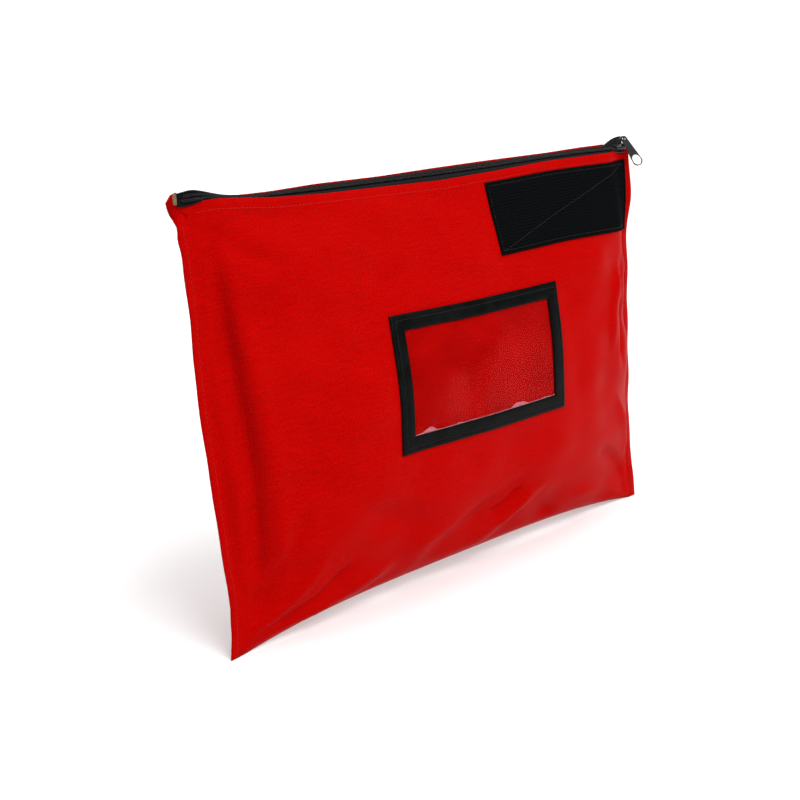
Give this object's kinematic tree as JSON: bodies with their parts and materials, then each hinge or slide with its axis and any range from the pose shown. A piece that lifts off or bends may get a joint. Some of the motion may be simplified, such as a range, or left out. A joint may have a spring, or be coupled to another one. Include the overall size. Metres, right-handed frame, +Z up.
{
  "type": "mail sack",
  "caption": "Flat red nylon mailing pouch that closes with a coil zip along its mouth, with a framed clear label window and a plain corner patch on the front.",
  "frame": {"origin": "middle of the object's box in X and Y, at the surface it stands on", "axes": "+Z up to the zip, +X along the zip towards the closed end, the label faces -Y"},
  "size_m": [0.4618, 0.063, 0.3374],
  "materials": {
    "nylon": "fine woven nylon with a soft sheen",
    "zip_tape": "black woven tape",
    "zip_coil": "black nylon coil",
    "slider_metal": "black painted die casting, worn at the edges",
    "stop_metal": "dull brass",
    "clear_film": "clear flexible film, slightly rippled",
    "vinyl": "black grained vinyl",
    "loop_patch": "matt black loop fabric",
    "black_thread": "black polyester thread",
    "red_thread": "red polyester thread"
  },
  "bodies": {
    "pouch": {"body_panel": "nylon", "zip_tape_front": "zip_tape", "zip_tape_back": "zip_tape", "zip_coil_front": "zip_coil", "zip_coil_back": "zip_coil", "zip_top_stop_front": "slider_metal", "zip_top_stop_back": "slider_metal", "zip_bottom_stop": "stop_metal", "label_window": "clear_film", "label_frame": "vinyl", "corner_patch": "loop_patch", "label_stitch": "black_thread", "patch_stitch": "black_thread", "hem_stitch_front": "red_thread", "hem_stitch_back": "red_thread", "side_stitch_left": "red_thread", "side_stitch_right": "red_thread"},
    "slider": {"slider_body": "slider_metal"},
    "pull_tab": {"pull_tab": "slider_metal"}
  },
  "joints": [
    {"name": "slider_travel", "type": "slide", "parent": "pouch", "child": "slider", "axis": [-1, 0, 0], "range_m": [0, 0.4363]},
    {"name": "pull_tab_swing", "type": "hinge", "parent": "slider", "child": "pull_tab", "pos_m": [0.22423, 0.00715, 0.33465], "axis": [-0.6165, -0.709, 0.3425], "range_deg": [0, 150]}
  ]
}
